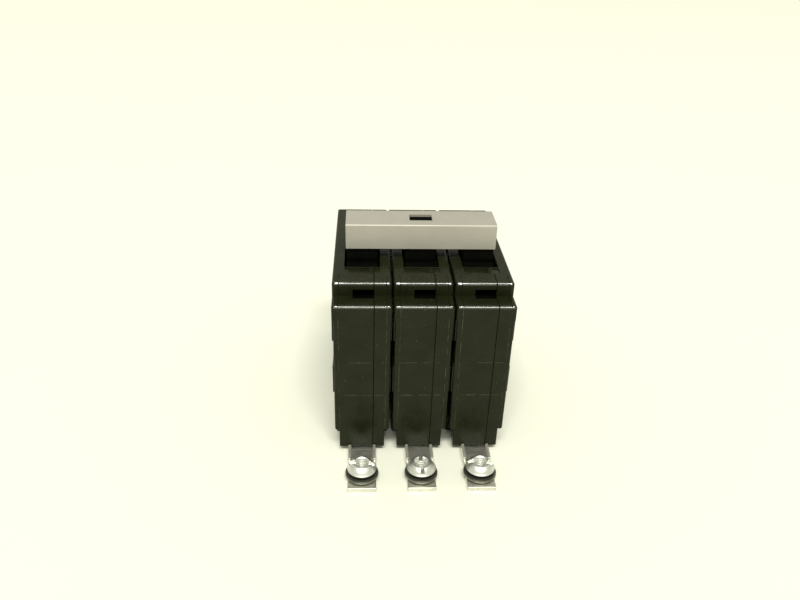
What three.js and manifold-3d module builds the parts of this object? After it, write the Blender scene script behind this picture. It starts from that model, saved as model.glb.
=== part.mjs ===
// Three-pole bolt-on moulded-case circuit breaker, lying on its back with the handles up.
// Millimetres. X runs across the poles, -Y is the line end with the bolt-on tabs, +Y is the load
// end with the wire terminals, and +Z points the way the handles do. Z = 0 is the mounting surface.

import * as THREE from 'three';
import { mergeVertices } from 'three/addons/utils/BufferGeometryUtils.js';
import Module from 'manifold-3d';

// Poles
const polePitch = 19.05;
const poleCount = 3;
const poleGap = 1.15;

// Case of one pole, split at the seam into a base and a cover
const caseLength = 79;
const noseHeight = 60.6;
const noseFrontY = 7;
const loadShelf = 11.8;
const lineShoulderDrop = 4.4;
const loadShoulderDrop = 14.6;
const wall = 1.6;
const roof = 2;
const seamX = 3.6;
const seamGap = 0.1;
const clearance = 0.3;

// Narrow foot over the line tab, and the rail hook under the load end
const footInset = 1.5;
const footDepth = 10;
const footTopZ = 8.8;
const hookLength = 5.5;
const hookGap = 4;
const hookHeight = 3.6;

// Raised bands and pads on the sides
const basePadHeight = 0.4;
const coverPadHeight = 0.25;
const bandHeight = 5.2;
const padLength = 13;
const padInset = 0.8;
const padSpans = [[22.2, 32.2], [4.7, 12.7]];

// Handle and its tie
const pivotY = 30.3;
const drumRadius = 23.4;
const drumSink = 0.2;
const drumWall = 2.2;
const drumHalfAngle = 56;
const handleWidth = 10.1;
const handleFlare = 1;
const slotClearance = 0.6;
const slotReach = 11.9;
const trunnionRadius = 2;
const pocketDepth = 0.8;
const cheekThickness = 1.85;
const cheekHalf = 4;
const hubRim = 0.4;
const legHalf = 2.6;
const tieLength = 48.8;
const tieDepth = 12.6;
const tieSheet = 0.8;
const tieRise = 12;
const tieHeight = 8.4;
const tieWindow = [7.4, 4.9];

// Trip window and flag
const windowLeftX = -2.95;
const windowSink = 0.5;
const windowHeight = 2.6;
const windowNotch = 1.5;
const flagThickness = 0.8;
const flagHeight = 4.2;
const flagDrop = 0.9;

// Line tab, captive nut and washer
const tabWidth = 9.1;
const tabThickness = 1.6;
const tabReach = 19.5;
const boltY = -13;
const boltHoleRadius = 3.4;
const tabFlangeHeight = 1.5;
const tabFlangeThickness = 0.95;
const tabFlangeLength = 7.1;
const washerRadius = 5.3;
const washerThickness = 1.5;
const nutRimRadius = 4.7;
const nutRimHeight = 0.9;
const nutTopRadius = 2.75;
const nutHeight = 2.9;
const nutBore = 2.35;
const nutSlotWidth = 1.33;
const nutSlotDepth = 1.3;
const nutTurns = [-6, 92, -8];

// Contacts and arc chute
const riserY = 5.8;
const innerTabRise = 2.3;
const movingContactZ = 13;
const contactLift = 4;
const contactSize = 4;
const contactThickness = 1.1;
const contactGap = 4.6;
const armPivotDrop = 6.5;
const armPinRadius = 1;
const armWidth = 4;
const armThickness = 2;
const armSetback = 6.7;
const armElbow = [2, 7];
const armTipRise = 5;
const armTipDrop = 0.4;
const armHubRadius = 2;
const armPinInset = 0.4;
const chuteFront = 3.4;
const chuteRear = 2;
const chuteRise = 4;
const chuteHeight = 20;
const chuteWidth = 12;
const chuteWall = 0.8;
const chutePlate = 1;
const chutePlates = 7;
const chuteNotchGap = 1;

// Trip unit
const cradleFromPivot = [7.7, 3];
const cradlePostRadius = 1.3;
const cradleThickness = 3;
const cradleHubRadius = 2.9;
const cradleHeel = [-2.6, -1.2];
const cradleCrown = [1.5, 2.4];
const latchDrop = 4;
const latchNose = [3, 1];
const latchBack = [4, 1.6];
const anchorFromCradle = [6, -3];
const anchorHalf = 1.5;
const anchorDrop = 2;
const anchorHoleRadius = 0.8;
const anchorHoleRise = 0.4;
const springRadius = 1.5;
const springWire = 0.35;
const springTurns = 6;
const springStandOff = 1.4;
const springToAnchor = [-2.6, -3.6];
const armatureThickness = 1.2;
const armatureWidth = 8;
const armatureRise = 6;
const armatureBottomZ = 16;
const armaturePinRadius = 0.9;
const latchHoleSide = 1.8;
const latchHoleBelow = 1.2;
const latchHoleAbove = 2.4;
const bimetalWidth = 6;
const bimetalThickness = 0.8;
const bimetalGap = 2.4;
const bimetalToLug = 8.8;
const bimetalDrop = 2.5;
const bimetalRise = 2;
const yokeSheet = 1.2;
const yokeWidth = 10.2;
const yokeGap = 1;
const yokeLift = 4;
const yokeDrop = 8;
const barZ = 12;
const barRadius = 1.5;
const barFinger = 8;
const barFingerHalf = [2.5, 0.7];
const barGap = 1.3;

// Load terminal
const lugLength = 10;
const lugRearGap = 3;
const lugWidth = 11;
const lugHeight = 14;
const lugDrop = 5.4;
const lugSheet = 1.6;
const strapWidth = 7;
const screwRadius = 2.4;
const screwDrop = 1;
const screwSlot = [1.1, 1.3];
const clampThickness = 1.2;
const clampInset = 1;
const wireHoleRadius = 4;

// Rivets through all the poles
const rivetRadius = 1.6;
const rivetHeadRadius = 2.7;
const rivetHeadHeight = 0.8;
const rivetShoulderDrop = 8.8;
const rivetNoseDrop = 5;
const rivetBossRadius = 3;
const rivetRecess = 0.1;
const bossOverlap = 0.3;

const roundSegments = 16;
const smallSegments = 12;
const boltSegments = 28;
const beyond = 5;
const overlap = 1;

// Places that follow from the sizes above
const poleOffsets = Array.from({ length: poleCount }, (_, i) => (i - (poleCount - 1) / 2) * polePitch);
const rowHalf = (poleCount - 1) / 2 * polePitch;
const caseWidth = polePitch - poleGap;
const halfCase = caseWidth / 2;
const halfInner = halfCase - wall;
const halfFoot = halfCase - footInset;
const coverX = seamX + seamGap;
const footBottomZ = tabThickness + clearance;
const noseRearY = caseLength - loadShelf;
const lineShoulderZ = noseHeight - lineShoulderDrop;
const loadShoulderZ = noseHeight - loadShoulderDrop;
const hookRearY = caseLength - hookLength;
const hookFrontY = hookRearY - hookGap;

const pivotZ = noseHeight - drumSink - drumRadius;
const tieTopZ = noseHeight + tieRise;
const tieBottomZ = tieTopZ - tieHeight;
const handleThickness = tieDepth - 2 * tieSheet - 2 * clearance;
const handleTopZ = tieTopZ - tieSheet - clearance;
const windowBottomZ = lineShoulderZ - windowSink;

const washerBottomZ = tabThickness + clearance;
const nutBottomZ = washerBottomZ + washerThickness + clearance;
const innerTabZ = footBottomZ + roof + innerTabRise;
const armPivotZ = pivotZ - armPivotDrop;
const armY = pivotY - armSetback;
const movingFaceY = armY - armThickness / 2 - contactThickness;
const fixedFaceY = movingFaceY - contactGap;
const fixedContactY = fixedFaceY - contactThickness - tabThickness / 2;
const fixedContactZ = movingContactZ + contactLift;

const lugRearY = caseLength - lugRearGap;
const lugFrontY = lugRearY - lugLength;
const lugTopZ = loadShoulderZ - lugDrop;
const lugBottomZ = lugTopZ - lugHeight;
const lugFloorZ = lugBottomZ + lugSheet;
const lugRoofZ = lugTopZ - 2 * lugSheet;
const screwY = (lugFrontY + lugRearY) / 2;
const screwTopZ = loadShoulderZ - screwDrop;
const clampTopZ = lugRoofZ - clearance;
const wireZ = (lugFloorZ + clampTopZ - clampThickness) / 2;

const cradleY = pivotY + cradleFromPivot[0];
const cradleZ = pivotZ + cradleFromPivot[1];
const anchorY = cradleY + anchorFromCradle[0];
const anchorZ = cradleZ + anchorFromCradle[1];
const bimetalY = lugFrontY - bimetalToLug;
const armatureY = bimetalY - bimetalGap - armatureThickness;
const latchY = armatureY - clearance;
const latchZ = cradleZ - latchDrop;
const armatureTopZ = latchZ + armatureRise;
const barY = armatureY - barGap - barFingerHalf[1];

const bossReach = rivetBossRadius - bossOverlap;
const rivetPlaces = [
  [wall + bossReach, lineShoulderZ - rivetShoulderDrop],
  [pivotY, roof + bossReach],
  [noseRearY - wall - bossReach, noseHeight - roof - rivetNoseDrop],
  [hookFrontY - bossReach, hookHeight + wall + bossReach],
];

// Materials

const metalOf = (color, roughness) => new THREE.MeshStandardMaterial({ color, roughness, metalness: 1 });
const plasticOf = (color, roughness) => new THREE.MeshStandardMaterial({ color, roughness, metalness: 0 });

const phenolic = plasticOf(0x1a1916, 0.32);
const handleBlack = plasticOf(0x161613, 0.38);
const tieGrey = metalOf(0x9c968a, 0.45);
const tinPlate = metalOf(0xc9c8c0, 0.3);
const zincSteel = metalOf(0xaeb0a6, 0.32);
const washerSteel = metalOf(0x6f726c, 0.38);
const steel = metalOf(0x8d8f8c, 0.4);
const copper = metalOf(0xb46f45, 0.35);
const silver = metalOf(0xd0cec8, 0.35);
const fibre = plasticOf(0x8a5a44, 0.7);
const flagOrange = plasticOf(0xd9541e, 0.5);

// Solids

const wasm = await Module();
wasm.setup();

function solidOf(geometry) {
  const bare = geometry.clone();
  bare.deleteAttribute('normal');
  bare.deleteAttribute('uv');
  const merged = mergeVertices(bare);
  return new wasm.Manifold(new wasm.Mesh({
    numProp: 3,
    vertProperties: new Float32Array(merged.attributes.position.array),
    triVerts: new Uint32Array(merged.index.array),
  }));
}

function geometryOf(solid) {
  const mesh = solid.getMesh();
  const shared = new THREE.BufferGeometry();
  shared.setAttribute('position', new THREE.BufferAttribute(mesh.vertProperties, 3));
  shared.setIndex(new THREE.BufferAttribute(mesh.triVerts, 1));
  const flat = shared.toNonIndexed();
  flat.computeVertexNormals();
  return flat;
}

const span = (a, b) => [Math.min(a, b), Math.max(a, b)];
const join = (...solids) => solids.reduce((whole, piece) => whole.add(piece));
const cut = (solid, ...tools) => tools.reduce((rest, tool) => rest.subtract(tool), solid);

function box(x0, x1, y0, y1, z0, z1) {
  const geometry = new THREE.BoxGeometry(x1 - x0, y1 - y0, z1 - z0);
  geometry.translate((x0 + x1) / 2, (y0 + y1) / 2, (z0 + z1) / 2);
  return solidOf(geometry);
}

// A side-view outline, in Y and Z, carried across from x0 to x1.
function prism(shape, x0, x1) {
  const geometry = new THREE.ExtrudeGeometry(shape, { depth: x1 - x0, bevelEnabled: false, curveSegments: 12 });
  const axes = new THREE.Matrix4().makeBasis(
    new THREE.Vector3(0, 1, 0),
    new THREE.Vector3(0, 0, 1),
    new THREE.Vector3(1, 0, 0),
  );
  geometry.applyMatrix4(axes);
  geometry.translate(x0, 0, 0);
  return solidOf(geometry);
}

const outline = (points) => new THREE.Shape(points.map(([y, z]) => new THREE.Vector2(y, z)));

function rodX(y, z, radius, x0, x1, segments = roundSegments) {
  const geometry = new THREE.CylinderGeometry(radius, radius, x1 - x0, segments);
  geometry.rotateZ(-Math.PI / 2);
  geometry.translate((x0 + x1) / 2, y, z);
  return solidOf(geometry);
}

function rodY(x, z, radius, y0, y1, segments = roundSegments) {
  const geometry = new THREE.CylinderGeometry(radius, radius, y1 - y0, segments);
  geometry.translate(x, (y0 + y1) / 2, z);
  return solidOf(geometry);
}

function rodZ(x, y, radius, z0, z1, segments = roundSegments) {
  const geometry = new THREE.CylinderGeometry(radius, radius, z1 - z0, segments);
  geometry.rotateX(Math.PI / 2);
  geometry.translate(x, y, (z0 + z1) / 2);
  return solidOf(geometry);
}

// A ring or turned piece about Z from closed [radius, z] points.
function turned(profile, segments = boltSegments) {
  const closed = [...profile, profile[0]].map(([radius, z]) => new THREE.Vector2(radius, z));
  const geometry = new THREE.LatheGeometry(closed, segments);
  geometry.rotateX(Math.PI / 2);
  return solidOf(geometry);
}

// Sheet metal bent along a side-view path, with the path as its middle line.
function bentSheet(path, thickness, x0, x1) {
  const points = path.map(([y, z]) => new THREE.Vector2(y, z));
  const left = [];
  const right = [];
  points.forEach((point, i) => {
    const before = points[Math.max(i - 1, 0)];
    const after = points[Math.min(i + 1, points.length - 1)];
    const into = i > 0 ? point.clone().sub(before).normalize() : after.clone().sub(point).normalize();
    const out = i < points.length - 1 ? after.clone().sub(point).normalize() : into;
    const mean = into.clone().add(out).normalize();
    const normal = new THREE.Vector2(-mean.y, mean.x);
    const reach = thickness / 2 / Math.max(mean.dot(into), 0.3);
    left.push([point.x + normal.x * reach, point.y + normal.y * reach]);
    right.unshift([point.x - normal.x * reach, point.y - normal.y * reach]);
  });
  return prism(outline([...right, ...left]), x0, x1);
}

// Case

function outerOutline() {
  return outline([
    [0, footBottomZ],
    [footDepth, footBottomZ],
    [footDepth, 0],
    [hookFrontY, 0],
    [hookFrontY, hookHeight],
    [hookRearY, hookHeight],
    [hookRearY, 0],
    [caseLength, 0],
    [caseLength, loadShoulderZ],
    [noseRearY, loadShoulderZ],
    [noseRearY, noseHeight],
    [noseFrontY, noseHeight],
    [noseFrontY, lineShoulderZ],
    [0, lineShoulderZ],
  ]);
}

function innerOutline() {
  return outline([
    [wall, footBottomZ + roof],
    [footDepth + wall, footBottomZ + roof],
    [footDepth + wall, roof],
    [hookFrontY - wall, roof],
    [hookFrontY - wall, hookHeight + wall],
    [caseLength - wall, hookHeight + wall],
    [caseLength - wall, loadShoulderZ - roof],
    [noseRearY - wall, loadShoulderZ - roof],
    [noseRearY - wall, noseHeight - roof],
    [noseFrontY + roof, noseHeight - roof],
    [noseFrontY + roof, lineShoulderZ - roof],
    [wall, lineShoulderZ - roof],
  ]);
}

// A band round the top and two pads near each end stand proud of the plain side.
function sidePads(x0, x1) {
  const pads = padSpans.flatMap(([high, low]) => {
    const [z0, z1] = span(lineShoulderZ - high, lineShoulderZ - low);
    const rearTop = Math.min(z1, loadShoulderZ);
    return [
      box(x0, x1, padInset, padInset + padLength, z0, z1),
      box(x0, x1, caseLength - padInset - padLength, caseLength - padInset, z0, rearTop),
    ];
  });
  const bandBottomZ = lineShoulderZ - bandHeight;
  const bandOutline = outline([
    [0, bandBottomZ],
    [noseRearY, bandBottomZ],
    [noseRearY, noseHeight],
    [noseFrontY, noseHeight],
    [noseFrontY, lineShoulderZ],
    [0, lineShoulderZ],
  ]);
  return join(prism(bandOutline, x0, x1), ...pads);
}

// The hollow, with the rivet bosses left standing and the foot's hollow kept narrow.
function caseHollow(x0, x1) {
  const bosses = rivetPlaces.map(([y, z]) => (
    rodX(y, z, rivetBossRadius, x0 - beyond, x1 + beyond, smallSegments)
  ));
  const footSide = halfFoot - wall;
  const footCorners = [-1, 1].map((side) => (
    box(...span(side * footSide, side * (halfCase + beyond)), -beyond, footDepth + wall,
      -beyond, footTopZ + wall)
  ));
  return cut(prism(innerOutline(), x0, x1), ...bosses, ...footCorners);
}

function footNarrowing(side) {
  const across = span(side * halfFoot, side * (halfCase + beyond));
  return box(...across, -beyond, footDepth, -beyond, footTopZ);
}

const wireHole = () => rodY(0, wireZ, wireHoleRadius, caseLength - wall - overlap, caseLength + beyond);
const screwHole = () => (
  rodZ(0, screwY, screwRadius + clearance, loadShoulderZ - roof - overlap, loadShoulderZ + beyond)
);

// The rivets pass straight through, with a counterbore for the head on an outermost side.
function rivetHoles(side, outermost) {
  const face = side * halfCase;
  const floor = face - side * (rivetHeadHeight + rivetRecess + clearance);
  return rivetPlaces.flatMap(([y, z]) => {
    const hole = rodX(y, z, rivetRadius + clearance, -halfCase - beyond, halfCase + beyond, smallSegments);
    const bore = () => rodX(y, z, rivetHeadRadius + clearance, ...span(floor, face + side * beyond));
    return outermost ? [hole, bore()] : [hole];
  });
}

// Round pockets in the side walls for the handle trunnion and, where it ends, the trip bar.
function wallPockets(side, outermost) {
  const from = side * (halfInner - overlap);
  const blind = side * (halfInner + pocketDepth);
  const through = side * (halfCase + beyond);
  return [
    rodX(pivotY, pivotZ, trunnionRadius + clearance, ...span(from, blind)),
    rodX(barY, barZ, barRadius + clearance, ...span(from, outermost ? blind : through), smallSegments),
  ];
}

// The slots that both halves share: for the handle and for the line tab's riser.
function sharedOpenings() {
  const slotX = handleWidth / 2 + slotClearance;
  const tabX = tabWidth / 2 + clearance;
  const riserHalf = tabThickness / 2 + clearance;
  return [
    box(-slotX, slotX, pivotY - slotReach, pivotY + slotReach,
      noseHeight - roof - overlap, noseHeight + beyond),
    box(-tabX, tabX, riserY - riserHalf, riserY + riserHalf, -beyond, footBottomZ + roof + overlap),
    wireHole(),
    screwHole(),
  ];
}

function makeBase(pole) {
  const outermost = pole === 0;
  const shell = join(
    prism(outerOutline(), -halfCase, seamX),
    sidePads(-halfCase - basePadHeight, -halfCase + overlap),
  );
  const tripWindow = box(windowLeftX, seamX + beyond, noseFrontY - windowNotch, noseFrontY + roof + overlap,
    windowBottomZ, windowBottomZ + windowHeight);
  const hollowed = cut(
    shell,
    caseHollow(-halfInner, seamX + beyond),
    footNarrowing(-1),
    tripWindow,
    ...sharedOpenings(),
    ...rivetHoles(-1, outermost),
    ...wallPockets(-1, outermost),
  );
  const post = span(-halfInner - wall / 2, seamX - clearance);
  return join(hollowed, rodX(cradleY, cradleZ, cradlePostRadius, ...post, smallSegments));
}

function makeCover(pole) {
  const outermost = pole === poleCount - 1;
  const shell = join(
    prism(outerOutline(), coverX, halfCase),
    sidePads(halfCase - overlap, halfCase + coverPadHeight),
  );
  return cut(
    shell,
    caseHollow(coverX - beyond, halfInner),
    footNarrowing(1),
    ...sharedOpenings(),
    ...rivetHoles(1, outermost),
    ...wallPockets(1, outermost),
  );
}

// Handle and tie

function makeHandle() {
  const halfWidth = handleWidth / 2;
  const drum = new THREE.Shape();
  const angle = THREE.MathUtils.degToRad(drumHalfAngle);
  drum.absarc(pivotY, pivotZ, drumRadius, Math.PI / 2 - angle, Math.PI / 2 + angle, false);
  drum.absarc(pivotY, pivotZ, drumRadius - drumWall, Math.PI / 2 + angle, Math.PI / 2 - angle, true);
  const cheeks = [-1, 1].flatMap((side) => {
    const cheek = span(side * halfWidth, side * (halfWidth - cheekThickness));
    const trunnion = span(side * (halfWidth - overlap), side * (halfInner + pocketDepth - clearance));
    return [
      box(...cheek, pivotY - cheekHalf, pivotY + cheekHalf, pivotZ, pivotZ + drumRadius - overlap),
      rodX(pivotY, pivotZ, cheekHalf + hubRim, ...cheek),
      box(...cheek, pivotY - legHalf, pivotY + legHalf, armPivotZ, pivotZ),
      rodX(pivotY, armPivotZ, legHalf, ...cheek),
      rodX(pivotY, pivotZ, trunnionRadius, ...trunnion),
    ];
  });
  const halfThickness = handleThickness / 2;
  const paddle = outline([
    [pivotY - halfThickness - handleFlare, pivotZ + drumRadius - drumWall],
    [pivotY + halfThickness + handleFlare, pivotZ + drumRadius - drumWall],
    [pivotY + halfThickness + handleFlare, noseHeight],
    [pivotY + halfThickness, tieBottomZ],
    [pivotY + halfThickness, handleTopZ],
    [pivotY - halfThickness, handleTopZ],
    [pivotY - halfThickness, tieBottomZ],
    [pivotY - halfThickness - handleFlare, noseHeight],
  ]);
  const whole = join(
    prism(drum, -halfWidth, halfWidth),
    prism(paddle, -halfWidth, halfWidth),
    ...cheeks,
  );
  const pinHole = rodX(pivotY, armPivotZ, armPinRadius + clearance, -halfWidth - overlap, halfWidth + overlap,
    smallSegments);
  return cut(whole, pinHole);
}

function makeTie() {
  const halfDepth = tieDepth / 2;
  const channel = cut(
    box(-tieLength / 2, tieLength / 2, pivotY - halfDepth, pivotY + halfDepth, tieBottomZ, tieTopZ),
    box(-tieLength, tieLength, pivotY - halfDepth + tieSheet, pivotY + halfDepth - tieSheet,
      tieBottomZ - beyond, tieTopZ - tieSheet),
  );
  const [sizeX, sizeY] = tieWindow;
  return cut(channel, box(-sizeX / 2, sizeX / 2, pivotY - sizeY / 2, pivotY + sizeY / 2,
    tieTopZ - beyond, tieTopZ + beyond));
}

// Contacts

function makeContactArm() {
  const halfWidth = armWidth / 2;
  const path = [
    [pivotY, armPivotZ],
    [armY + armElbow[0], armPivotZ - armElbow[1]],
    [armY, movingContactZ + armTipRise],
    [armY, movingContactZ - contactSize / 2 - armTipDrop],
  ];
  const halfPin = handleWidth / 2 - armPinInset;
  const pad = box(-contactSize / 2, contactSize / 2, movingFaceY, armY,
    movingContactZ - contactSize / 2, movingContactZ + contactSize / 2);
  return join(
    bentSheet(path, armThickness, -halfWidth, halfWidth),
    rodX(pivotY, armPivotZ, armHubRadius, -halfWidth, halfWidth),
    rodX(pivotY, armPivotZ, armPinRadius, -halfPin, halfPin, smallSegments),
    pad,
  );
}

function makeLineTab() {
  const halfWidth = tabWidth / 2;
  const midZ = tabThickness / 2;
  const path = [
    [-tabReach, midZ],
    [riserY, midZ],
    [riserY, innerTabZ],
    [fixedContactY, innerTabZ],
    [fixedContactY, fixedContactZ + contactSize / 2],
  ];
  const flanges = [-1, 1].map((side) => {
    const across = span(side * (halfWidth - tabFlangeThickness), side * halfWidth);
    return box(...across, -clearance - tabFlangeLength, -clearance,
      tabThickness / 2, tabThickness + tabFlangeHeight);
  });
  return cut(
    join(bentSheet(path, tabThickness, -halfWidth, halfWidth), ...flanges),
    rodZ(0, boltY, boltHoleRadius, -beyond, beyond),
  );
}

function makeFixedContact() {
  return box(-contactSize / 2, contactSize / 2, fixedFaceY - contactThickness, fixedFaceY,
    fixedContactZ - contactSize / 2, fixedContactZ + contactSize / 2);
}

function makeArcChute() {
  const half = chuteWidth / 2;
  const y0 = wall + chuteFront;
  const y1 = fixedContactY - chuteRear;
  const bottomZ = fixedContactZ + contactSize / 2 + chuteRise;
  const topZ = bottomZ + chuteHeight;
  const notchHalf = armWidth / 2 + chuteNotchGap;
  const walls = [-1, 1].map((side) => (
    box(...span(side * half, side * (half - chuteWall)), y0, y1, bottomZ, topZ)
  ));
  const notch = box(-notchHalf, notchHalf, (y0 + y1) / 2, y1 + overlap, bottomZ - overlap, topZ + overlap);
  const pitch = (chuteHeight - chutePlate) / (chutePlates - 1);
  const plates = Array.from({ length: chutePlates }, (_, i) => {
    const z = bottomZ + i * pitch;
    const reach = half - chuteWall / 2;
    return cut(box(-reach, reach, y0, y1, z, z + chutePlate), notch);
  });
  return join(...walls, ...plates);
}

// Line nut and washer, about the bolt axis

function makeWasher() {
  const bore = boltHoleRadius;
  return turned([
    [bore, washerBottomZ],
    [washerRadius, washerBottomZ],
    [washerRadius, washerBottomZ + washerThickness],
    [bore, washerBottomZ + washerThickness],
  ]);
}

function makeNut() {
  const collar = boltHoleRadius - clearance;
  const topZ = nutBottomZ + nutHeight;
  const body = turned([
    [nutBore, clearance],
    [collar, clearance],
    [collar, nutBottomZ],
    [nutRimRadius, nutBottomZ],
    [nutRimRadius, nutBottomZ + nutRimHeight],
    [nutTopRadius, topZ],
    [nutBore, topZ],
  ]);
  const slot = box(-nutRimRadius - overlap, nutRimRadius + overlap, -nutSlotWidth / 2, nutSlotWidth / 2,
    topZ - nutSlotDepth, topZ + overlap);
  return cut(body, slot);
}

// Trip unit

function makeCradle() {
  const half = cradleThickness / 2;
  const lever = outline([
    [cradleY + cradleHeel[0], cradleZ + cradleHeel[1]],
    [anchorY - anchorHalf, anchorZ - anchorDrop],
    [anchorY + anchorHalf, anchorZ - anchorDrop],
    [latchY - latchNose[0], latchZ - latchNose[1]],
    [latchY, latchZ - latchNose[1]],
    [latchY, latchZ + latchNose[1]],
    [latchY - latchBack[0], latchZ + latchBack[1]],
    [cradleY + cradleCrown[0], cradleZ + cradleCrown[1]],
  ]);
  return cut(
    join(prism(lever, -half, half), rodX(cradleY, cradleZ, cradleHubRadius, -half, half)),
    rodX(cradleY, cradleZ, cradlePostRadius + clearance, -half - overlap, half + overlap, smallSegments),
    rodX(anchorY, anchorZ + anchorHoleRise, anchorHoleRadius, -half - overlap, half + overlap, smallSegments),
  );
}

class Helix extends THREE.Curve {
  constructor(from, to, radius, turns) {
    super();
    this.from = from;
    this.span = to.clone().sub(from);
    this.radius = radius;
    this.turns = turns;
    this.across = new THREE.Vector3(1, 0, 0);
    this.up = this.span.clone().normalize().cross(this.across);
  }

  getPoint(t) {
    const angle = 2 * Math.PI * this.turns * t;
    return this.from.clone()
      .addScaledVector(this.span, t)
      .addScaledVector(this.across, this.radius * Math.cos(angle))
      .addScaledVector(this.up, this.radius * Math.sin(angle));
  }
}

function makeToggleSpring() {
  const [toAnchorY, toAnchorZ] = springToAnchor;
  const from = new THREE.Vector3(0, armY + armThickness / 2 + springStandOff, movingContactZ + armTipRise);
  const to = new THREE.Vector3(0, anchorY + toAnchorY, anchorZ + toAnchorZ);
  const wire = new THREE.Shape();
  wire.absarc(0, 0, springWire, 0, 2 * Math.PI, false);
  return new THREE.ExtrudeGeometry(wire, {
    steps: springTurns * 8,
    curveSegments: 2,
    extrudePath: new Helix(from, to, springRadius, springTurns),
  });
}

function makeArmature() {
  const half = armatureWidth / 2;
  const rear = armatureY + armatureThickness;
  const pinEnd = halfInner - clearance;
  return cut(
    join(
      box(-half, half, armatureY, rear, armatureBottomZ, armatureTopZ),
      rodX(armatureY + armatureThickness / 2, armatureTopZ, armaturePinRadius, -pinEnd, pinEnd, smallSegments),
    ),
    box(-half + latchHoleSide, half - latchHoleSide, armatureY - overlap, rear + overlap,
      latchZ - latchHoleBelow, latchZ + latchHoleAbove),
  );
}

function makeBimetal() {
  const half = bimetalWidth / 2;
  return box(-half, half, bimetalY, bimetalY + bimetalThickness,
    armatureBottomZ - bimetalDrop, armatureTopZ + bimetalRise);
}

function makeYoke() {
  const half = yokeWidth / 2;
  const frontY = bimetalY - yokeGap;
  const backY = bimetalY + bimetalThickness + yokeGap;
  const [z0, z1] = [armatureBottomZ + yokeLift, armatureTopZ - yokeDrop];
  return cut(
    box(-half, half, frontY, backY + yokeSheet, z0, z1),
    box(-half + yokeSheet, half - yokeSheet, frontY - overlap, backY, z0 - overlap, z1 + overlap),
  );
}

function makeTripBar() {
  const end = rowHalf + halfInner + pocketDepth - clearance;
  const [halfX, halfY] = barFingerHalf;
  const fingers = poleOffsets.map((x) => (
    box(x - halfX, x + halfX, barY - halfY, barY + halfY, barZ, barZ + barFinger)
  ));
  return join(rodX(barY, barZ, barRadius, -end, end), ...fingers);
}

function makeTripFlag() {
  const y0 = noseFrontY + roof + clearance;
  const topZ = windowBottomZ - clearance - flagDrop;
  return box(windowLeftX, seamX - clearance, y0, y0 + flagThickness, topZ - flagHeight, topZ);
}

// Load terminal

function makeLoadStrap() {
  const half = lugWidth / 2;
  const strapHalf = strapWidth / 2;
  const frontY = bimetalY + bimetalThickness + clearance;
  const riserFrontY = bimetalY + bimetalThickness + yokeGap + yokeSheet + clearance * 2;
  const topZ = armatureTopZ + bimetalRise;
  const collar = cut(
    box(-half, half, lugFrontY, lugRearY, lugBottomZ, lugTopZ),
    box(-half + lugSheet, half - lugSheet, lugFrontY - overlap, lugRearY + overlap, lugFloorZ, lugRoofZ),
    rodZ(0, screwY, screwRadius + clearance, lugTopZ - beyond, lugTopZ + beyond),
  );
  return join(
    collar,
    box(-strapHalf, strapHalf, riserFrontY, lugFrontY + overlap, lugBottomZ, lugFloorZ),
    box(-strapHalf, strapHalf, riserFrontY, riserFrontY + lugSheet, lugBottomZ, topZ),
    box(-strapHalf, strapHalf, frontY, riserFrontY + lugSheet, topZ - lugSheet, topZ),
  );
}

function makeLoadScrew() {
  const [slotWidth, slotDepth] = screwSlot;
  const half = slotWidth / 2;
  return cut(
    rodZ(0, screwY, screwRadius, clampTopZ + clearance, screwTopZ),
    box(-screwRadius - overlap, screwRadius + overlap, screwY - half, screwY + half,
      screwTopZ - slotDepth, screwTopZ + overlap),
  );
}

function makeClampPlate() {
  const half = lugWidth / 2 - lugSheet - clearance;
  return box(-half, half, lugFrontY + clampInset, lugRearY - clampInset, clampTopZ - clampThickness, clampTopZ);
}

// Rivets

function makeRivet(y, z) {
  const end = rowHalf + halfCase - rivetRecess;
  return join(
    rodX(y, z, rivetRadius, -end, end, smallSegments),
    rodX(y, z, rivetHeadRadius, -end, -end + rivetHeadHeight),
    rodX(y, z, rivetHeadRadius, end - rivetHeadHeight, end),
  );
}

// Assembly

// The origin is under the middle of the whole breaker.
const breaker = new THREE.Group();
breaker.position.x = (basePadHeight - coverPadHeight) / 2;
breaker.position.y = -(caseLength - tabReach) / 2;

function place(parent, name, solid, material) {
  const geometry = solid.isBufferGeometry ? solid : geometryOf(solid);
  const mesh = new THREE.Mesh(geometry, material);
  mesh.name = name;
  parent.add(mesh);
  return mesh;
}

poleOffsets.forEach((x, pole) => {
  const module = new THREE.Group();
  const number = pole + 1;
  module.position.x = x;
  place(module, `base_${number}`, makeBase(pole), phenolic);
  place(module, `cover_${number}`, makeCover(pole), phenolic);
  place(module, `handle_${number}`, makeHandle(), handleBlack);
  place(module, `contact_arm_${number}`, makeContactArm(), copper);
  place(module, `fixed_contact_${number}`, makeFixedContact(), silver);
  place(module, `line_tab_${number}`, makeLineTab(), tinPlate);
  place(module, `arc_chute_${number}`, makeArcChute(), fibre);
  place(module, `cradle_${number}`, makeCradle(), steel);
  place(module, `toggle_spring_${number}`, makeToggleSpring(), steel);
  place(module, `armature_${number}`, makeArmature(), steel);
  place(module, `bimetal_${number}`, makeBimetal(), steel);
  place(module, `magnet_yoke_${number}`, makeYoke(), steel);
  place(module, `trip_flag_${number}`, makeTripFlag(), flagOrange);
  place(module, `load_strap_${number}`, makeLoadStrap(), copper);
  place(module, `load_screw_${number}`, makeLoadScrew(), zincSteel);
  place(module, `clamp_plate_${number}`, makeClampPlate(), zincSteel);
  const bolt = new THREE.Group();
  bolt.position.y = boltY;
  place(bolt, `line_washer_${number}`, makeWasher(), washerSteel);
  const nut = place(bolt, `line_nut_${number}`, makeNut(), zincSteel);
  nut.rotation.z = THREE.MathUtils.degToRad(nutTurns[pole]);
  module.add(bolt);
  breaker.add(module);
});
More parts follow.
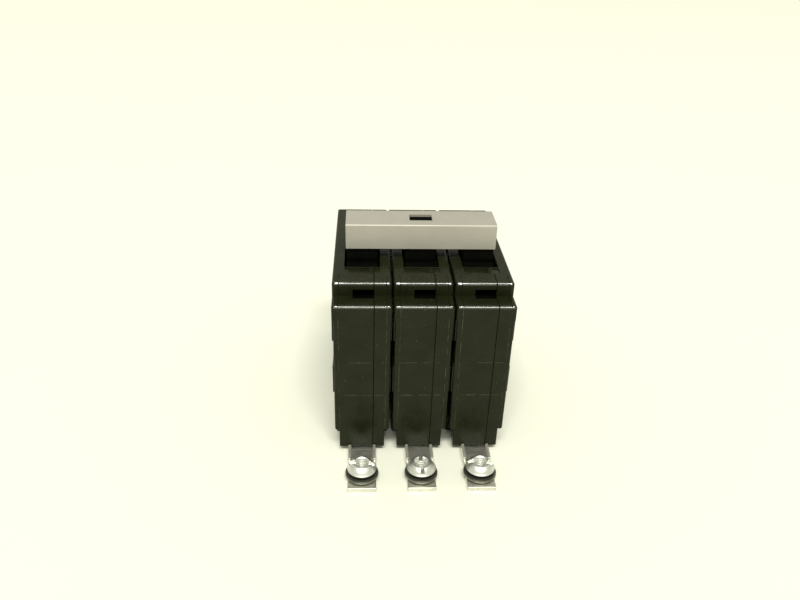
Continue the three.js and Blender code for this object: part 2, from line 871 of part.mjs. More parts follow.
place(breaker, 'handle_tie', makeTie(), tieGrey);
place(breaker, 'trip_bar', makeTripBar(), handleBlack);
rivetPlaces.forEach(([y, z], i) => place(breaker, `case_rivet_${i + 1}`, makeRivet(y, z), steel));

export default breaker;
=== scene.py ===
import math

import bmesh
import bpy
from mathutils import Matrix, Vector


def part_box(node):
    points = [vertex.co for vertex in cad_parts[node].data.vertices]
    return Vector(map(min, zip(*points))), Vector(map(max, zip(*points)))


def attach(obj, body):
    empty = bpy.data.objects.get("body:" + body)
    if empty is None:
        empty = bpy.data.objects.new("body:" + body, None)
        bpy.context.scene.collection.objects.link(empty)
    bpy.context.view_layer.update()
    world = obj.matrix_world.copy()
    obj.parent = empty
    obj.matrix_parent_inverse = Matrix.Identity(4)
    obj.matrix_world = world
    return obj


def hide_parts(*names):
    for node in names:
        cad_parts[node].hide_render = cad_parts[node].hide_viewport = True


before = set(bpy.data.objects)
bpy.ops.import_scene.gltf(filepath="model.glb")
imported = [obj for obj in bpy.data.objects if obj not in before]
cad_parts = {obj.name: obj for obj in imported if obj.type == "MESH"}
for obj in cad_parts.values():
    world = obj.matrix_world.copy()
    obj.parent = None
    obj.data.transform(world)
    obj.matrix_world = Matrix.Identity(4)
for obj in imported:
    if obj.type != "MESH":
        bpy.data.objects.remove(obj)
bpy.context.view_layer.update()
print("frame loaded:", len(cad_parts), "nodes")

mm = 0.001
weld = 1e-4          # points of a piece closer than this, in mm, are one point
solidWeld = 1e-6     # the same for a piece that is still in metres
hair = 0.01          # keeps two joined faces from lying exactly in one plane, in mm
tabReach = 19.5      # from a line tab's front end to the case's corner, in mm
poleNumbers = (1, 2, 3)
tabLow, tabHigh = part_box("line_tab_2")
polePitch = (tabLow[0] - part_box("line_tab_1")[0][0]) / mm
# the middle pole's case corner, from which all its millimetres are counted
rowShift = Vector(((tabLow[0] + tabHigh[0]) / 2, tabLow[1] + tabReach * mm, 0.0))


# small tools, all in millimetres of one pole

def poleMatrix(pole):
    along = Vector(((pole - 2) * polePitch * mm, 0, 0))
    return Matrix.Translation(rowShift + along) @ Matrix.Scale(mm, 4)


def solidOf(bm, name="tool"):
    bmesh.ops.recalc_face_normals(bm, faces=bm.faces)
    mesh = bpy.data.meshes.new(name)
    bm.to_mesh(mesh)
    bm.free()
    piece = bpy.data.objects.new(name, mesh)
    bpy.context.scene.collection.objects.link(piece)
    return piece


def drop(piece):
    mesh = piece.data
    bpy.data.objects.remove(piece)
    if mesh.users == 0:
        bpy.data.meshes.remove(mesh)


def block(low, high, axis=2, side=1, flare=0.0):
    # a box between two corners; flare widens the end that faces side along axis
    bm = bmesh.new()
    bmesh.ops.create_cube(bm, size=1)
    for vert in bm.verts:
        ends = [1 if c > 0 else -1 for c in vert.co]
        for k in range(3):
            reach = flare if k != axis and ends[axis] == side else 0
            vert.co[k] = (low[k] + high[k]) / 2 + ends[k] * ((high[k] - low[k]) / 2 + reach)
    return bm


def rod(axis, place, radius, start, end, steps=32, endRadius=None):
    # a round bar along axis, with place as its two other coordinates in order
    bm = bmesh.new()
    bmesh.ops.create_cone(bm, cap_ends=True, segments=steps, radius1=radius,
                          radius2=radius if endRadius is None else endRadius, depth=end - start)
    turns = {"X": Matrix.Rotation(math.radians(90), 3, "Y"),
             "Y": Matrix.Rotation(math.radians(-90), 3, "X"),
             "Z": Matrix.Identity(3)}
    bmesh.ops.rotate(bm, verts=bm.verts, cent=(0, 0, 0), matrix=turns[axis])
    centre = list(place)
    centre.insert("XYZ".index(axis), (start + end) / 2)
    bmesh.ops.translate(bm, verts=bm.verts, vec=centre)
    return bm


def prismX(points, x0, x1):
    # a side-view outline of [y, z] points carried across
    bm = bmesh.new()
    face = bm.faces.new([bm.verts.new((x0, y, z)) for y, z in points])
    grown = bmesh.ops.extrude_face_region(bm, geom=[face])
    moved = [part for part in grown["geom"] if isinstance(part, bmesh.types.BMVert)]
    bmesh.ops.translate(bm, verts=moved, vec=(x1 - x0, 0, 0))
    bmesh.ops.holes_fill(bm, edges=[edge for edge in bm.edges if edge.is_boundary])
    bmesh.ops.recalc_face_normals(bm, faces=bm.faces)
    return bm


def spun(profile, steps, centre):
    # a turned piece about Z from closed [radius, z] points
    bm = bmesh.new()
    verts = [bm.verts.new((radius, 0, z)) for radius, z in profile]
    edges = [bm.edges.new((verts[k], verts[(k + 1) % len(verts)])) for k in range(len(verts))]
    bmesh.ops.spin(bm, geom=verts + edges, cent=(0, 0, 0), axis=(0, 0, 1), angle=math.tau,
                   steps=steps, use_merge=True)
    bmesh.ops.translate(bm, verts=bm.verts, vec=(centre[0], centre[1], 0))
    bmesh.ops.recalc_face_normals(bm, faces=bm.faces)
    return bm


def roundEdges(bm, edges, width, steps=3):
    bmesh.ops.bevel(bm, geom=edges, offset=width, offset_type="OFFSET", affect="EDGES", segments=steps,
                    profile=0.5, material=-1, clamp_overlap=True)


def atX(edge, x):
    return all(abs(vert.co.x - x) < weld for vert in edge.verts)


def combine(body, tools, operation):
    for tool in tools:
        step = body.modifiers.new(operation, "BOOLEAN")
        step.object = tool
        step.operation = operation
        step.solver = "MANIFOLD"
    bpy.context.view_layer.update()
    graph = bpy.context.evaluated_depsgraph_get()
    mesh = bpy.data.meshes.new_from_object(body.evaluated_get(graph))
    body.modifiers.clear()
    old = body.data
    body.data = mesh
    bpy.data.meshes.remove(old)
    for tool in tools:
        drop(tool)
    return body


def finished(piece, name, pole, material, body, nodes, smoothAngle=38, turn=0.0,
             turnAbout=(0, 0), others=(), chosen=None):
    # scales a piece to metres, puts it in its pole and hands it to its body
    # chosen gives each face its finish number: 0 is material, 1 and up are others
    piece.name = name
    piece.data.name = name
    bm = bmesh.new()
    bm.from_mesh(piece.data)
    bmesh.ops.remove_doubles(bm, verts=bm.verts, dist=weld)
    bmesh.ops.dissolve_degenerate(bm, edges=bm.edges, dist=weld)
    if turn:
        bmesh.ops.rotate(bm, verts=bm.verts, cent=(turnAbout[0], turnAbout[1], 0),
                         matrix=Matrix.Rotation(math.radians(turn), 3, "Z"))
    bm.normal_update()
    for face in bm.faces:
        face.smooth = True
        face.material_index = chosen(face) if chosen else 0
        # finish 1 paints the edge highlight; the middle facet of each rounding stays flat to mirror the
        # key light whole
        highlightFacet = abs(face.normal.z + face.normal.y) < 0.1   # the middle of a rounding
        if face.material_index == 1 and highlightFacet:
            face.smooth = False
    bmesh.ops.transform(bm, matrix=poleMatrix(pole), verts=bm.verts)
    piece.data.materials.clear()     # before the faces come back, because it resets their finish numbers
    bm.to_mesh(piece.data)
    bm.free()
    piece.data.set_sharp_from_angle(angle=math.radians(smoothAngle))
    for each in (material, *others):
        piece.data.materials.append(each)
    even = piece.modifiers.new("even normals", "WEIGHTED_NORMAL")
    even.keep_sharp = True
    even.weight = 60
    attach(piece, body)
    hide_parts(*nodes)
    return piece


def copyOf(piece, name):
    twin = bpy.data.objects.new(name, piece.data.copy())
    bpy.context.scene.collection.objects.link(twin)
    return twin


# finishes

class Finish:
    # a Principled material and the few nodes its patterns need
    def __init__(self, name, **sockets):
        self.material = bpy.data.materials.new(name)
        self.material.use_nodes = True
        self.tree = self.material.node_tree
        self.shader = self.tree.nodes["Principled BSDF"]
        self.place = self.tree.nodes.new("ShaderNodeTexCoord").outputs["Object"]
        for socket, value in sockets.items():
            self.shader.inputs[socket.replace("_", " ")].default_value = value

    def node(self, kind, **settings):
        made = self.tree.nodes.new(kind)
        for setting, value in settings.items():
            setattr(made, setting, value)
        return made

    def link(self, source, target):
        self.tree.links.new(source, target)

    def mapped(self, scale=(1, 1, 1), location=(0, 0, 0)):
        mapping = self.node("ShaderNodeMapping")
        mapping.inputs["Scale"].default_value = scale
        mapping.inputs["Location"].default_value = location
        self.link(self.place, mapping.inputs["Vector"])
        return mapping.outputs["Vector"]

    def noise(self, scale, detail=4.0, rough=0.55, place=None):
        made = self.node("ShaderNodeTexNoise")
        made.inputs["Scale"].default_value = scale
        made.inputs["Detail"].default_value = detail
        made.inputs["Roughness"].default_value = rough
        self.link(place or self.place, made.inputs["Vector"])
        return made.outputs["Fac"]

    def ranged(self, value, fromLow, fromHigh, low, high):
        made = self.node("ShaderNodeMapRange")
        sockets = ("From Min", "From Max", "To Min", "To Max")
        for socket, number in zip(sockets, (fromLow, fromHigh, low, high)):
            made.inputs[socket].default_value = number
        self.link(value, made.inputs["Value"])
        return made.outputs["Result"]

    def mixed(self, factor, first, second):
        made = self.node("ShaderNodeMix", data_type="RGBA")
        for socket, value in ((made.inputs[6], first), (made.inputs[7], second)):
            if hasattr(value, "links"):
                self.link(value, socket)
            else:
                socket.default_value = (*value, 1)
        self.link(factor, made.inputs[0])
        return made.outputs[2]

    def math(self, operation, first, second):
        made = self.node("ShaderNodeMath", operation=operation)
        for socket, value in zip(made.inputs, (first, second)):
            if hasattr(value, "links"):
                self.link(value, socket)
            else:
                socket.default_value = value
        return made.outputs[0]

    def specks(self, scale, size, share):
        # small dots scattered over the surface: 1 inside a dot
        cells = self.node("ShaderNodeTexVoronoi")
        cells.inputs["Scale"].default_value = scale
        self.link(self.place, cells.inputs["Vector"])
        dot = self.ranged(cells.outputs["Distance"], size, size * 0.6, 0, 1)
        split = self.node("ShaderNodeSeparateColor")
        self.link(cells.outputs["Color"], split.inputs[0])
        chosen = self.math("LESS_THAN", split.outputs[0], share)
        return self.math("MULTIPLY", dot, chosen)

    def color(self, value):
        self.link(value, self.shader.inputs["Base Color"])

    def roughness(self, value):
        self.link(value, self.shader.inputs["Roughness"])

    def bump(self, height, strength, distance, after=None):
        made = self.node("ShaderNodeBump")
        made.inputs["Strength"].default_value = strength
        made.inputs["Distance"].default_value = distance
        self.link(height, made.inputs["Height"])
        if after is not None:
            self.link(after, made.inputs["Normal"])
        self.link(made.outputs["Normal"], self.shader.inputs["Normal"])
        return made.outputs["Normal"]


phenolicLook = {"deep": (0.0100, 0.0120, 0.0042), "pale": (0.0150, 0.0175, 0.0070),
                "dust": (0.09, 0.09, 0.06), "dustShare": 0.05, "rough": (0.19, 0.34), "gloss": 0.14,
                "grain": 0.02}


def phenolicFinish(name, look):
    finish = Finish(name, Metallic=0.0, Specular_IOR_Level=look["gloss"], IOR=look.get("ior", 1.5))
    clouds = finish.noise(160, 5, 0.6)
    fine = finish.noise(2600, 3, 0.5)
    tone = finish.mixed(finish.ranged(clouds, 0.35, 0.68, 0, 1), look["deep"], look["pale"])
    dots = finish.specks(900, 0.16, look["dustShare"])
    finish.color(finish.mixed(dots, tone, look["dust"]))
    handled = finish.noise(420, 4, 0.65, finish.mapped(scale=(1, 1, 0.35)))
    finish.roughness(finish.ranged(handled, 0.3, 0.72, *look["rough"]))
    flow = finish.bump(clouds, look.get("flow", 0.05), 0.0006)
    finish.bump(fine, look["grain"], 0.00008, flow)
    return finish.material


# far darker and duller than the case's black: painted shade for the handles sunk under the tie, also used
# for the window sill and trip bar
shadedHandleLook = {"deep": (0.0010, 0.0013, 0.0006), "pale": (0.0022, 0.0026, 0.0014),
              "dust": (0.03, 0.03, 0.02), "dustShare": 0.02, "rough": (0.42, 0.58), "gloss": 0.04,
              "grain": 0.04}
# paler and glossier than the case: a painted highlight along the rounded front edges, with dust specks
edgeHighlightLook = {"deep": (0.020, 0.021, 0.014), "pale": (0.034, 0.035, 0.025),
              "dust": (0.10, 0.10, 0.08), "dustShare": 0.02, "rough": (0.06, 0.20), "gloss": 0.8,
              "grain": 0.01, "flow": 0.01, "ior": 1.65}
# a dark, dull shank where it shows in the gaps between the poles: painted shade
shadedShankLook = {"deep": (0.006, 0.006, 0.005), "pale": (0.012, 0.012, 0.010),
             "dust": (0.03, 0.03, 0.02), "dustShare": 0.02, "rough": (0.5, 0.7), "gloss": 0.10,
             "grain": 0.06}
# the pale patches on the panel ridges are a painted highlight
ridgeGlintLook = {"dark": (0.012, 0.014, 0.006), "lighter": (0.085, 0.088, 0.060), "from": 0.42, "to": 0.66}


def ridgeFinish(look):
    # panel ridges painted pale here and there: a painted highlight where light catches them
    finish = Finish("panel ridges, painted glint", Metallic=0.0, Specular_IOR_Level=0.2, Roughness=0.4)
    patches = finish.ranged(finish.noise(380, 5, 0.65), look["from"], look["to"], 0, 1)
    finish.color(finish.mixed(patches, look["dark"], look["lighter"]))
    finish.bump(finish.noise(2600, 3, 0.5), 0.08, 0.00008)
    return finish.material


casePlastic = phenolicFinish("case phenolic", phenolicLook)
edgeHighlightPlastic = phenolicFinish("case edges, painted highlight", edgeHighlightLook)
ridgePlastic = ridgeFinish(ridgeGlintLook)
shadedShank = phenolicFinish("rivet shank, painted shade", shadedShankLook)
shadedBlackPlastic = phenolicFinish("handle plastic, painted shade", shadedHandleLook)

tieLook = {"grey": (0.425, 0.402, 0.348), "lighter": (0.475, 0.452, 0.398), "rough": (0.34, 0.50)}


def tieFinish(look):
    finish = Finish("satin grey coat", Metallic=0.25, Specular_IOR_Level=0.5)
    clouds = finish.noise(90, 5, 0.6)
    streaks = finish.noise(900, 3, 0.5, finish.mapped(scale=(0.06, 1, 1)))
    finish.color(finish.mixed(finish.ranged(clouds, 0.35, 0.7, 0, 1), look["grey"], look["lighter"]))
    finish.roughness(finish.ranged(streaks, 0.3, 0.7, *look["rough"]))
    soft = finish.bump(finish.noise(3200, 3, 0.5), 0.12, 0.00006)
    finish.bump(streaks, 0.08, 0.00008, soft)
    return finish.material


tieCoat = tieFinish(tieLook)


def metalFinish(name, bright, dull, rough, grain, stretch=(1, 1, 1), relief=0.1, stain=None):
    finish = Finish(name, Metallic=1.0)
    clouds = finish.noise(260, 5, 0.6)
    lines = finish.noise(grain, 3, 0.5, finish.mapped(scale=stretch))
    tone = finish.mixed(finish.ranged(clouds, 0.3, 0.7, 0, 1), bright, dull)
    if stain:
        patches = finish.noise(520, 6, 0.7)
        tone = finish.mixed(finish.ranged(patches, 0.6, 0.72, 0, 1), tone, stain)
    finish.color(tone)
    finish.roughness(finish.ranged(lines, 0.3, 0.7, *rough))
    finish.bump(lines, relief, 0.00006)
    return finish.material


tinPlate = metalFinish("tin plate", (0.82, 0.81, 0.74), (0.70, 0.69, 0.62), (0.36, 0.50), 1400,
                       stretch=(0.2, 1, 1), relief=0.02, stain=(0.50, 0.46, 0.38))
zincPlate = metalFinish("zinc plate", (0.78, 0.79, 0.74), (0.64, 0.66, 0.60), (0.18, 0.34), 2200)
sheetSteel = metalFinish("stamped steel", (0.52, 0.52, 0.50), (0.38, 0.38, 0.36), (0.3, 0.5), 1200,
                         stretch=(1, 1, 0.2))
springSteel = metalFinish("spring steel", (0.45, 0.45, 0.44), (0.32, 0.32, 0.31), (0.22, 0.4), 3000)
copperStrip = metalFinish("copper strip", (0.80, 0.43, 0.27), (0.55, 0.27, 0.16), (0.25, 0.45), 1300,
                          stretch=(1, 1, 0.2))
contactSilver = metalFinish("contact silver", (0.86, 0.85, 0.82), (0.66, 0.65, 0.62), (0.3, 0.5), 2600)
rivetSteel = metalFinish("rivet steel", (0.60, 0.60, 0.57), (0.42, 0.42, 0.40), (0.25, 0.45), 1800)
flangeTin = metalFinish("rolled tin flange", (0.82, 0.81, 0.72), (0.70, 0.69, 0.60), (0.50, 0.66), 1400,
                        relief=0.08)


def turnedFinish(name, centre):
    # bright zinc with the fine rings that a lathe leaves round the centre
    finish = Finish(name, Metallic=1.0)
    middle = finish.mapped(location=(-centre[0], -centre[1], 0))
    rings = finish.node("ShaderNodeTexWave", wave_type="RINGS", rings_direction="Z", wave_profile="SIN")
    rings.inputs["Scale"].default_value = 900
    rings.inputs["Distortion"].default_value = 1.5
    rings.inputs["Detail"].default_value = 2
    finish.link(middle, rings.inputs["Vector"])
    clouds = finish.noise(420, 5, 0.6)
    dulled = finish.ranged(clouds, 0.35, 0.7, 0, 1)
    finish.color(finish.mixed(dulled, (0.90, 0.905, 0.85), (0.78, 0.79, 0.72)))
    finish.roughness(finish.ranged(clouds, 0.3, 0.7, 0.36, 0.50))
    worked = finish.bump(rings.outputs["Fac"], 0.12, 0.00005)
    finish.bump(finish.noise(3000, 3, 0.5), 0.1, 0.00004, worked)
    return finish.material


def washerFinish(look):
    # a dark upper step, painted shade under the nut, and a paler outer rim
    finish = Finish("washer steel, painted shade under nut", Metallic=1.0)
    split = finish.node("ShaderNodeSeparateXYZ")
    finish.link(finish.place, split.inputs[0])
    upper = finish.ranged(split.outputs["Z"], look["stepLow"] * mm, look["stepHigh"] * mm, 0, 1)
    clouds = finish.noise(260, 5, 0.6)
    rim = finish.mixed(clouds, look["rim"], look["rimDull"])
    finish.color(finish.mixed(upper, rim, look["dark"]))
    lines = finish.noise(2400, 3, 0.5)
    finish.roughness(finish.ranged(lines, 0.3, 0.7, *look["rough"]))
    finish.bump(lines, 0.08, 0.00005)
    return finish.material


def fibreFinish():
    finish = Finish("vulcanised fibre", Metallic=0.0, Roughness=0.7)
    strands = finish.noise(1500, 6, 0.7, finish.mapped(scale=(1, 0.2, 1)))
    finish.color(finish.mixed(strands, (0.26, 0.10, 0.055), (0.17, 0.06, 0.035)))
    finish.bump(strands, 0.3, 0.0001)
    return finish.material


def orangeFinish():
    finish = Finish("orange moulding", Metallic=0.0)
    clouds = finish.noise(600, 4, 0.6)
    finish.color(finish.mixed(clouds, (0.80, 0.19, 0.035), (0.68, 0.14, 0.025)))
    finish.roughness(finish.ranged(clouds, 0.3, 0.7, 0.4, 0.55))
    finish.bump(finish.noise(2800, 3, 0.5), 0.1, 0.00005)
    return finish.material


# dark: the upper step's colour, painted shade under the nut
washerLook = {"rim": (0.27, 0.27, 0.22), "rimDull": (0.17, 0.17, 0.14), "dark": (0.055, 0.057, 0.048),
              "stepLow": 2.67, "stepHigh": 2.75, "rough": (0.38, 0.52)}
washerSteel = washerFinish(washerLook)
chuteFibre = fibreFinish()
flagOrange = orangeFinish()
print("finishes made")


# case halves: the base left of the seam, the cover right of it

case = {"halfWidth": 8.95, "length": 79.0, "noseTop": 60.6, "noseFront": 7.0, "noseRear": 67.2,
        "lineShoulder": 56.2, "loadShoulder": 46.0, "wall": 1.6, "roof": 2.0, "seam": 3.6, "seamGap": 0.1,
        "rounding": 0.7, "seamRounding": 0.13, "steps": 3, "footHalf": 7.45, "footDepth": 10.0,
        "footTop": 8.8, "footBottom": 1.9, "footRounding": 0.35,
        "hookFront": 69.5, "hookRear": 73.5, "hookHeight": 3.6,
        "basePad": 0.4, "coverPad": 0.25, "bandBottom": 51.0, "padRounding": 0.2, "tuck": 0.012,
        "padFront": 0.8, "padLength": 13.0, "padHeights": ((24.0, 34.0), (43.5, 51.5)),
        "padInset": 2.0}
tabSlot = {"halfWidth": 4.85, "front": 4.7, "rear": 6.9}
slot = {"halfWidth": 5.65, "front": 18.4, "rear": 42.2, "chamfer": 0.2, "rampStart": 13.1,
        "rampHalf": 5.65, "rampDrop": 0.75}
slotRib = {"x": (2.0, 3.5), "front": 13.4, "bottom": 1.2, "drop": 0.1, "rounding": 0.12}
lip = {"depth": 0.45, "bottom": 1.4, "drop": 0.2, "rounding": 0.09}
window = {"left": -2.95, "bottom": 55.7, "top": 58.3, "front": 5.2}
panel = {"left": -7.3, "right": 7.55, "crossings": (23.3, 35.9), "lineWidth": 0.34, "lineDepth": 0.2,
         "lineRear": 12.0, "ridgeWidth": 0.34, "ridgeHeight": 0.08, "ridgeSlope": 0.1,
         "ridgeBottom": 9.6, "ridgeDrop": 0.9, "ridgeRoot": 0.5, "seamGap": 0.2}
ends = {"wireZ": 32.05, "wireRadius": 4.0, "screwY": 71.0, "screwRadius": 2.7, "chamfer": 0.4}
rivet = {"places": ((4.3, 47.4), (30.3, 4.7), (62.9, 53.6), (66.8, 7.9)), "radius": 1.6,
         "headRadius": 2.7, "headHeight": 0.8, "boss": 3.0, "clear": 0.3, "recess": 0.1}
pivot = {"y": 30.3, "z": 37.0, "trunnion": 2.0, "pocket": 0.8, "barY": 51.6, "barZ": 12.0,
         "barRadius": 1.5}
stopPost = {"place": (38.0, 40.0), "radius": 1.3, "bite": 0.8, "gap": 0.3}
inside = case["halfWidth"] - case["wall"]
beyond = 5.0         # how far a cutting tool stands out of the piece it cuts
farAcross = 20.0     # a tool's reach that passes right through one pole


def bodyOutline(c):
    return [(0, c["footTop"]), (c["footDepth"], c["footTop"]), (c["footDepth"], 0), (c["hookFront"], 0),
            (c["hookFront"], c["hookHeight"]), (c["hookRear"], c["hookHeight"]), (c["hookRear"], 0),
            (c["length"], 0), (c["length"], c["loadShoulder"]), (c["noseRear"], c["loadShoulder"]),
            (c["noseRear"], c["noseTop"]), (c["noseFront"], c["noseTop"]),
            (c["noseFront"], c["lineShoulder"]), (0, c["lineShoulder"])]


def bandOutline(c):
    t = c["tuck"]
    return [(t, c["bandBottom"]), (c["noseRear"] - t, c["bandBottom"]),
            (c["noseRear"] - t, c["noseTop"] - t), (c["noseFront"] + t, c["noseTop"] - t),
            (c["noseFront"] + t, c["lineShoulder"] - t), (t, c["lineShoulder"] - t)]


def hollowOutline(c):
    w, r = c["wall"], c["roof"]
    return [(w, c["footBottom"] + r), (c["footDepth"] + w, c["footBottom"] + r), (c["footDepth"] + w, r),
            (c["hookFront"] - w, r), (c["hookFront"] - w, c["hookHeight"] + w),
            (c["length"] - w, c["hookHeight"] + w), (c["length"] - w, c["loadShoulder"] - r),
            (c["noseRear"] - w, c["loadShoulder"] - r), (c["noseRear"] - w, c["noseTop"] - r),
            (c["noseFront"] + r, c["noseTop"] - r), (c["noseFront"] + r, c["lineShoulder"] - r),
            (w, c["lineShoulder"] - r)]


def roundedPrism(points, x0, x1, width, steps, seamX, seamWidth):
    # inner corners stay sharp, and the edges at the seam get their own small rounding
    bm = prismX(points, x0, x1)
    outer = [edge for edge in bm.edges
             if edge.calc_face_angle_signed(0) >= -0.1 and not atX(edge, seamX)]
    roundEdges(bm, outer, width, steps)
    roundEdges(bm, [edge for edge in bm.edges if atX(edge, seamX)], seamWidth, 1)
    return bm


def caseHollow(side):
    # the space inside one half, with the rivet bosses and the foot's side walls left standing
    face = side * inside
    seamSide = -side * beyond
    x0, x1 = sorted((face, seamSide))
    hollow = solidOf(prismX(hollowOutline(case), x0, x1))
    keep = [solidOf(rod("X", place, rivet["boss"], x0 - 1, x1 + 1, 20))
            for place in rivet["places"]]
    corner = sorted((side * (case["footHalf"] - case["wall"]), side * (inside + 1)))
    keep.append(solidOf(block((corner[0], -1, -1), (corner[1], case["footDepth"] + case["wall"],
                                                    case["footTop"] + case["wall"]))))
    return combine(hollow, keep, "DIFFERENCE")


def panelLines(side):
    # shallow grooves that carry the panel edges over the shoulder and the nose
    w, d = panel["lineWidth"] / 2, panel["lineDepth"]
    x = panel["left"] if side < 0 else panel["right"]
    lines = [block((x - w, case["noseFront"] - 1, case["lineShoulder"] + 0.6),
                   (x + w, case["noseFront"] + d, case["noseTop"] + 1)),
             block((x - w, -1, case["lineShoulder"] - d),
                   (x + w, case["noseFront"] - 0.5, case["lineShoulder"] + 1)),
             block((x - w, case["noseFront"] - 1, case["noseTop"] - d),
                   (x + w, panel["lineRear"], case["noseTop"] + 1))]
    return [solidOf(line) for line in lines]


def panelRidges(side):
    # low moulded ridges round the flat panels of the line end
    w, h = panel["ridgeWidth"] / 2, panel["ridgeHeight"]
    root, slope = panel["ridgeRoot"], -panel["ridgeSlope"]
    x = panel["left"] if side < 0 else panel["right"]
    coverEdge = case["seam"] + case["seamGap"]
    seam = case["seam"] - panel["seamGap"] if side < 0 else coverEdge + panel["seamGap"]
    left, right = sorted((x, seam))
    ridges = [block((x - w, -h, panel["ridgeBottom"]),
                    (x + w, root, case["lineShoulder"] - panel["ridgeDrop"]), 1, -1, slope)]
    ridges += [block((left, -h, z - w), (right, root, z + w), 1, -1, slope)
               for z in panel["crossings"]]
    return [solidOf(ridge) for ridge in ridges]


def openings():
    # what both halves share: handle slot with its ramp, tab slot, wire and screw holes
    top, c = case["noseTop"], slot["chamfer"]
    s, front, rear = slot["halfWidth"], slot["front"], slot["rear"]
    tools = [block((-s, front, top - case["roof"] - 1), (s, rear, top + beyond)),
             block((-s, front, top - c), (s, rear, top + 1), 2, 1, c + 1),
             block((-tabSlot["halfWidth"], tabSlot["front"], -beyond),
                   (tabSlot["halfWidth"], tabSlot["rear"], case["footBottom"] + case["roof"] + 1)),
             rod("Y", (0, ends["wireZ"]), ends["wireRadius"], case["length"] - case["wall"] - 1,
                 case["length"] + beyond, 40),
             rod("Y", (0, ends["wireZ"]), ends["wireRadius"], case["length"] - ends["chamfer"],
                 case["length"] + 1, 40, ends["wireRadius"] + ends["chamfer"] + 1),
             rod("Z", (0, ends["screwY"]), ends["screwRadius"], case["loadShoulder"] - case["roof"] - 1,
                 case["loadShoulder"] + beyond, 32),
             rod("Z", (0, ends["screwY"]), ends["screwRadius"], case["loadShoulder"] - ends["chamfer"],
                 case["loadShoulder"] + 1, 32, ends["screwRadius"] + ends["chamfer"] + 1)]
    rampEnd = front + 0.5
    ramp = prismX([(slot["rampStart"], top), (rampEnd, top - slot["rampDrop"]),
                   (rampEnd, top + 1), (slot["rampStart"], top + 1)],
                  -slot["rampHalf"], slot["rampHalf"])
    return [solidOf(tool) for tool in tools + [ramp]]


def rivetCuts(side, outermost):
    face = side * case["halfWidth"]
    floor = face - side * (rivet["headHeight"] + rivet["recess"] + rivet["clear"])
    cuts = []
    for place in rivet["places"]:
        cuts.append(solidOf(rod("X", place, rivet["radius"] + rivet["clear"], -farAcross, farAcross, 24)))
        if outermost:
            x0, x1 = sorted((floor, face + side * beyond))
            cuts.append(solidOf(rod("X", place, rivet["headRadius"] + rivet["clear"], x0, x1, 36)))
    return cuts


def pocketCuts(side, outermost):
    # blind pockets for the handle's pins; the trip bar's holes are blind only in the outer walls
    start, reach = side * (inside - 1), side * (inside + pivot["pocket"])
    pinHole = rod("X", (pivot["y"], pivot["z"]), pivot["trunnion"] + rivet["clear"],
                  *sorted((start, reach)), 24)
    barHole = rod("X", (pivot["barY"], pivot["barZ"]), pivot["barRadius"] + rivet["clear"],
                  *sorted((start, reach if outermost else side * farAcross)), 24)
    return [solidOf(pinHole), solidOf(barHole)]


def caseHalf(side):
    # side -1 is the base, +1 the cover
    c = case
    face = side * c["halfWidth"]
    seamX = c["seam"] if side < 0 else c["seam"] + c["seamGap"]
    x0, x1 = sorted((face, seamX))
    body = solidOf(roundedPrism(bodyOutline(c), x0, x1, c["rounding"], c["steps"], seamX,
                                c["seamRounding"]))
    foot = sorted((side * c["footHalf"], seamX))
    added = [solidOf(roundedPrism([(c["tuck"], c["footBottom"]), (c["footDepth"] + 1, c["footBottom"]),
                                   (c["footDepth"] + 1, c["footTop"] + 2), (c["tuck"], c["footTop"] + 2)],
                                  foot[0], foot[1], c["footRounding"], c["steps"], seamX,
                                  c["seamRounding"]))]
    proud = c["basePad"] if side < 0 else c["coverPad"]
    inner = face - side * c["padInset"]
    b0, b1 = sorted((face + side * proud, inner))
    added.append(solidOf(bandPrism(b0, b1, inner)))
    for low, high in c["padHeights"]:
        near, far = c["padFront"], c["padFront"] + c["padLength"]
        mirror = c["length"]
        top = min(high, c["loadShoulder"] - 0.8)   # the load end's shoulder is lower
        for y0, y1, z1 in ((near, far, high), (mirror - far, mirror - near, top)):
            pad = block((b0, y0, low), (b1, y1, z1))
            roundEdges(pad, [edge for edge in pad.edges if not atX(edge, inner)], c["padRounding"], 2)
            added.append(solidOf(pad))
    return combine(body, added + panelRidges(side), "UNION")


def bandPrism(x0, x1, inner):
    bm = prismX(bandOutline(case), x0, x1)
    top = [edge for edge in bm.edges if not atX(edge, inner) and
           max(vert.co.z for vert in edge.verts) > case["bandBottom"] + 1]
    top = [edge for edge in top if edge.calc_face_angle_signed(0) > 0]
    roundEdges(bm, top, case["rounding"] - case["tuck"], case["steps"])
    return bm


def cutHalf(side):
    half = caseHalf(side)
    tools = [caseHollow(side)] + openings() + panelLines(side)
    if side < 0:
        deep = case["noseFront"] + case["roof"] + 1
        tools.append(solidOf(block((window["left"], window["front"], window["bottom"]),
                                   (case["seam"] + 1, deep, window["top"]))))
    return combine(half, tools, "DIFFERENCE")


def caseFace(face):
    # 1: rounded front edges in a paler, glossier finish that paints their highlight, 2: panel ridges with
    #    painted pale glints, 3: the trip window's sill in the darker handle plastic, painted shade
    middle, normal = face.calc_center_median(), face.normal
    reach = case["rounding"]
    atFront = middle.y < case["noseFront"] + reach and middle.z > case["noseTop"] - reach
    atShoulder = middle.y < reach and middle.z > case["lineShoulder"] - reach
    if (atFront or atShoulder) and abs(normal.x) < 0.05 and normal.z > 0.2 and normal.y < -0.2:
        return 1
    if middle.y < -0.002:
        return 2
    # the trip window's sill takes the darker handle plastic as painted shade
    if abs(middle.z - window["bottom"]) < 0.01 and middle.y < 10:
        return 3
    return 0


